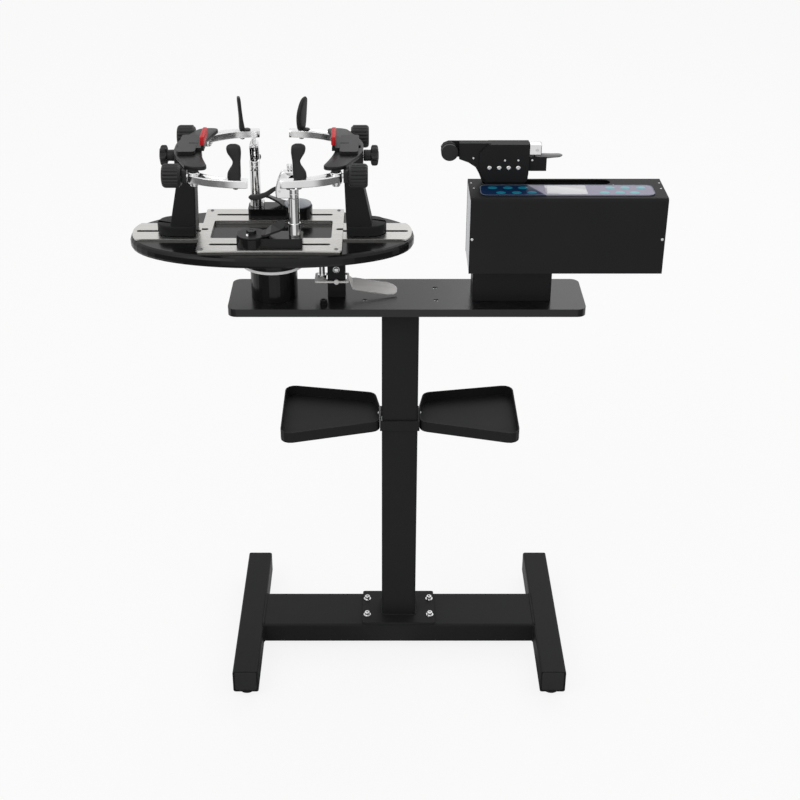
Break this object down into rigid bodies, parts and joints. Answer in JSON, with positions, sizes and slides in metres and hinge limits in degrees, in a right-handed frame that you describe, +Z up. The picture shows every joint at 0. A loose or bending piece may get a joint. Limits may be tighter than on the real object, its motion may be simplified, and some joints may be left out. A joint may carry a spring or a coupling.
{
  "type": "racket stringing machine",
  "caption": "Free-standing electronic racket stringing machine: H foot, post, tool trays, turntable with towers and clamps, and a tension head.",
  "frame": {"origin": "on the floor, under the middle of the overall box", "axes": "+X to the right, towards the tension head; +Y away from the user; +Z up"},
  "size_m": [0.9062, 0.388, 1.0682],
  "materials": {
    "powder_coat": "satin black powder coat",
    "plate_coat": "satin black powder coat with a soft sheen",
    "painted_casting": "casting under satin black powder coat",
    "gloss_black": "gloss black paint",
    "black_plastic": "fine grained moulded black plastic",
    "rubber": "matt black rubber",
    "stainless": "brushed stainless steel",
    "polished_aluminium": "polished",
    "chrome": "bright chrome plate",
    "zinc_sheet": "zinc plated steel",
    "nylon": "white nylon",
    "keypad": "printed membrane"
  },
  "bodies": {
    "stand": {"leg_left": "powder_coat", "leg_right": "powder_coat", "crossbar": "powder_coat", "foot_front_left": "rubber", "foot_rear_left": "rubber", "foot_front_right": "rubber", "foot_rear_right": "rubber", "post": "powder_coat", "tray_left": "powder_coat", "tray_right": "powder_coat", "tray_collar": "powder_coat", "top_plate": "plate_coat", "turntable_column": "gloss_black", "brake_post": "powder_coat", "head_pedestal": "powder_coat", "head_chassis": "zinc_sheet", "head_cover": "powder_coat", "keypad_panel": "keypad", "drive_motor": "painted_casting"},
    "turntable": {"turntable_spindle": "gloss_black", "turntable_deck": "gloss_black", "rail_plate": "stainless", "clamp_frame": "stainless", "slip_ring": "nylon"},
    "brake": {"brake_lever": "chrome", "brake_pin": "chrome"},
    "gripper_carriage": {"gripper_carriage": "powder_coat"},
    "clamp_base_front": {"clamp_base_front": "gloss_black"},
    "clamp_base_rear": {"clamp_base_rear": "gloss_black"},
    "lead_screw": {"lead_screw": "stainless"},
    "tower_left": {"tower_left": "painted_casting"},
    "tower_right": {"tower_right": "painted_casting"},
    "head_block_left": {"head_block_left": "painted_casting"},
    "head_block_right": {"head_block_right": "painted_casting"},
    "base_lever_front": {"base_lever_front": "painted_casting"},
    "base_lever_rear": {"base_lever_rear": "painted_casting"},
    "nose_roller": {"nose_roller": "painted_casting"},
    "star_knob_left": {"star_knob_left": "black_plastic"},
    "star_knob_right": {"star_knob_right": "black_plastic"},
    "arm_knob_front_left": {"arm_knob_front_left": "black_plastic"},
    "arm_knob_rear_left": {"arm_knob_rear_left": "black_plastic"},
    "arm_knob_front_right": {"arm_knob_front_right": "black_plastic"},
    "arm_knob_rear_right": {"arm_knob_rear_right": "black_plastic"},
    "side_support_front_left": {"side_support_front_left": "black_plastic"},
    "side_support_rear_left": {"side_support_rear_left": "black_plastic"},
    "side_support_front_right": {"side_support_front_right": "black_plastic"},
    "side_support_rear_right": {"side_support_rear_right": "black_plastic"},
    "clamp_lever_front": {"clamp_lever_front": "black_plastic"},
    "clamp_lever_rear": {"clamp_lever_rear": "black_plastic"},
    "side_arm_front_left": {"side_arm_front_left": "polished_aluminium"},
    "side_arm_rear_left": {"side_arm_rear_left": "polished_aluminium"},
    "side_arm_front_right": {"side_arm_front_right": "polished_aluminium"},
    "side_arm_rear_right": {"side_arm_rear_right": "polished_aluminium"},
    "clamp_head_front": {"clamp_head_front": "polished_aluminium"},
    "clamp_head_rear": {"clamp_head_rear": "polished_aluminium"},
    "clamp_jaw_front": {"clamp_jaw_front": "polished_aluminium"},
    "clamp_jaw_rear": {"clamp_jaw_rear": "polished_aluminium"},
    "clamp_post_front": {"clamp_post_front": "chrome"},
    "clamp_post_rear": {"clamp_post_rear": "chrome"},
    "gripper_lever": {"gripper_lever": "zinc_sheet"}
  },
  "joints": [
    {"name": "turntable_spin", "type": "hinge", "parent": "stand", "child": "turntable", "pos_m": [-0.2086, 0, 0.8113], "axis": [0, 0, 1], "continuous": true},
    {"name": "brake_press", "type": "hinge", "parent": "stand", "child": "brake", "pos_m": [-0.0991, 0, 0.782], "axis": [0, 1, 0], "range_deg": [-6, 0]},
    {"name": "tower_slide_left", "type": "slide", "parent": "turntable", "child": "tower_left", "axis": [-1, 0, 0], "range_m": [-0.006, 0.035]},
    {"name": "star_knob_spin_left", "type": "hinge", "parent": "tower_left", "child": "star_knob_left", "pos_m": [-0.3669, 0, 1.006], "axis": [-1, 0, 0], "range_deg": [-720, 720]},
    {"name": "head_block_slide_left", "type": "slide", "parent": "tower_left", "child": "head_block_left", "axis": [-1, 0, 0], "range_m": [-0.008, 0.008]},
    {"name": "arm_knob_spin_front_left", "type": "hinge", "parent": "tower_left", "child": "arm_knob_front_left", "pos_m": [-0.3439, -0.1, 1.006], "axis": [-1, 0, 0], "range_deg": [-360, 360]},
    {"name": "side_arm_swing_front_left", "type": "hinge", "parent": "tower_left", "child": "side_arm_front_left", "pos_m": [-0.3236, -0.1, 1.0127], "axis": [0, 0, 1], "range_deg": [-18.1, 18.1]},
    {"name": "support_swivel_front_left", "type": "hinge", "parent": "side_arm_front_left", "child": "side_support_front_left", "pos_m": [-0.25401, -0.1268, 1.00945], "axis": [0, 0, 1], "range_deg": [-40, 40]},
    {"name": "arm_knob_spin_rear_left", "type": "hinge", "parent": "tower_left", "child": "arm_knob_rear_left", "pos_m": [-0.3439, 0.1, 1.006], "axis": [-1, 0, 0], "range_deg": [-360, 360]},
    {"name": "side_arm_swing_rear_left", "type": "hinge", "parent": "tower_left", "child": "side_arm_rear_left", "pos_m": [-0.3236, 0.1, 1.0127], "axis": [0, 0, -1], "range_deg": [-18.1, 18.1]},
    {"name": "support_swivel_rear_left", "type": "hinge", "parent": "side_arm_rear_left", "child": "side_support_rear_left", "pos_m": [-0.26515, 0.12523, 1.00945], "axis": [0, 0, 1], "range_deg": [-40, 40]},
    {"name": "tower_slide_right", "type": "slide", "parent": "turntable", "child": "tower_right", "axis": [1, 0, 0], "range_m": [-0.006, 0.035]},
    {"name": "star_knob_spin_right", "type": "hinge", "parent": "tower_right", "child": "star_knob_right", "pos_m": [-0.0503, 0, 1.006], "axis": [1, 0, 0], "range_deg": [-720, 720]},
    {"name": "head_block_slide_right", "type": "slide", "parent": "tower_right", "child": "head_block_right", "axis": [1, 0, 0], "range_m": [-0.008, 0.008]},
    {"name": "arm_knob_spin_front_right", "type": "hinge", "parent": "tower_right", "child": "arm_knob_front_right", "pos_m": [-0.0733, -0.1, 1.006], "axis": [1, 0, 0], "range_deg": [-360, 360]},
    {"name": "side_arm_swing_front_right", "type": "hinge", "parent": "tower_right", "child": "side_arm_front_right", "pos_m": [-0.0936, -0.1, 1.0127], "axis": [0, 0, -1], "range_deg": [-18.1, 18.1]},
    {"name": "support_swivel_front_right", "type": "hinge", "parent": "side_arm_front_right", "child": "side_support_front_right", "pos_m": [-0.15205, -0.12523, 1.00945], "axis": [0, 0, 1], "range_deg": [-40, 40]},
    {"name": "arm_knob_spin_rear_right", "type": "hinge", "parent": "tower_right", "child": "arm_knob_rear_right", "pos_m": [-0.0733, 0.1, 1.006], "axis": [1, 0, 0], "range_deg": [-360, 360]},
    {"name": "side_arm_swing_rear_right", "type": "hinge", "parent": "tower_right", "child": "side_arm_rear_right", "pos_m": [-0.0936, 0.1, 1.0127], "axis": [0, 0, 1], "range_deg": [-18.1, 18.1]},
    {"name": "support_swivel_rear_right", "type": "hinge", "parent": "side_arm_rear_right", "child": "side_support_rear_right", "pos_m": [-0.16112, 0.12656, 1.00945], "axis": [0, 0, 1], "range_deg": [-40, 40]},
    {"name": "clamp_base_slide_front", "type": "slide", "parent": "turntable", "child": "clamp_base_front", "axis": [1, 0, 0], "range_m": [-0.06, 0.05]},
    {"name": "base_lever_turn_front", "type": "hinge", "parent": "clamp_base_front", "child": "base_lever_front", "pos_m": [-0.2381, -0.068, 0.8903], "axis": [0, 0, 1], "range_deg": [-85, 0]},
    {"name": "clamp_post_turn_front", "type": "hinge", "parent": "clamp_base_front", "child": "clamp_post_front", "pos_m": [-0.1656, -0.068, 0.8903], "axis": [0, 0, 1], "continuous": true},
    {"name": "clamp_head_lift_front", "type": "slide", "parent": "clamp_post_front", "child": "clamp_head_front", "axis": [0, 0, 1], "range_m": [0, 0.032]},
    {"name": "clamp_lever_press_front", "type": "hinge", "parent": "clamp_head_front", "child": "clamp_lever_front", "pos_m": [-0.1881, -0.068, 0.9699], "axis": [0, -1, 0], "range_deg": [0, 30]},
    {"name": "clamp_jaw_close_front", "type": "slide", "parent": "clamp_head_front", "child": "clamp_jaw_front", "axis": [0, -1, 0], "range_m": [0, 0.00065]},
    {"name": "clamp_base_slide_rear", "type": "slide", "parent": "turntable", "child": "clamp_base_rear", "axis": [1, 0, 0], "range_m": [-0.055, 0.05]},
    {"name": "base_lever_turn_rear", "type": "hinge", "parent": "clamp_base_rear", "child": "base_lever_rear", "pos_m": [-0.1681, 0.068, 0.8903], "axis": [0, 0, 1], "range_deg": [-85, 0]},
    {"name": "clamp_post_turn_rear", "type": "hinge", "parent": "clamp_base_rear", "child": "clamp_post_rear", "pos_m": [-0.2406, 0.068, 0.8903], "axis": [0, 0, 1], "continuous": true},
    {"name": "clamp_head_lift_rear", "type": "slide", "parent": "clamp_post_rear", "child": "clamp_head_rear", "axis": [0, 0, 1], "range_m": [0, 0.032]},
    {"name": "clamp_lever_press_rear", "type": "hinge", "parent": "clamp_head_rear", "child": "clamp_lever_rear", "pos_m": [-0.2406, 0.0905, 0.9699], "axis": [-1, 0, 0], "range_deg": [0, 30]},
    {"name": "clamp_jaw_close_rear", "type": "slide", "parent": "clamp_head_rear", "child": "clamp_jaw_rear", "axis": [-1, 0, 0], "range_m": [0, 0.00065]},
    {"name": "lead_screw_spin", "type": "hinge", "parent": "stand", "child": "lead_screw", "pos_m": [0.1354, -0.03, 0.881], "axis": [1, 0, 0], "range_deg": [0, 2340]},
    {"name": "carriage_slide", "type": "slide", "parent": "stand", "child": "gripper_carriage", "axis": [1, 0, 0], "range_m": [0, 0.13]},
    {"name": "nose_roller_spin", "type": "hinge", "parent": "gripper_carriage", "child": "nose_roller", "pos_m": [0.0934, 0, 1.0145], "axis": [0, 1, 0], "continuous": true},
    {"name": "gripper_lever_turn", "type": "hinge", "parent": "gripper_carriage", "child": "gripper_lever", "pos_m": [0.2409, 0, 1.0054], "axis": [0, 0, 1], "range_deg": [-35, 35]}
  ],
  "couplings": [
    {"joint": "star_knob_spin_left", "follows": "head_block_slide_left", "rad_per_m": 1570.8},
    {"joint": "side_arm_swing_front_left", "follows": "arm_knob_spin_front_left", "ratio": 0.05},
    {"joint": "side_arm_swing_rear_left", "follows": "arm_knob_spin_rear_left", "ratio": 0.05},
    {"joint": "star_knob_spin_right", "follows": "head_block_slide_right", "rad_per_m": 1570.8},
    {"joint": "side_arm_swing_front_right", "follows": "arm_knob_spin_front_right", "ratio": 0.05},
    {"joint": "side_arm_swing_rear_right", "follows": "arm_knob_spin_rear_right", "ratio": 0.05},
    {"joint": "clamp_jaw_close_front", "follows": "clamp_lever_press_front", "m_per_rad": 0.0011459},
    {"joint": "clamp_jaw_close_rear", "follows": "clamp_lever_press_rear", "m_per_rad": 0.0011459},
    {"joint": "lead_screw_spin", "follows": "carriage_slide", "rad_per_m": 314.16}
  ]
}
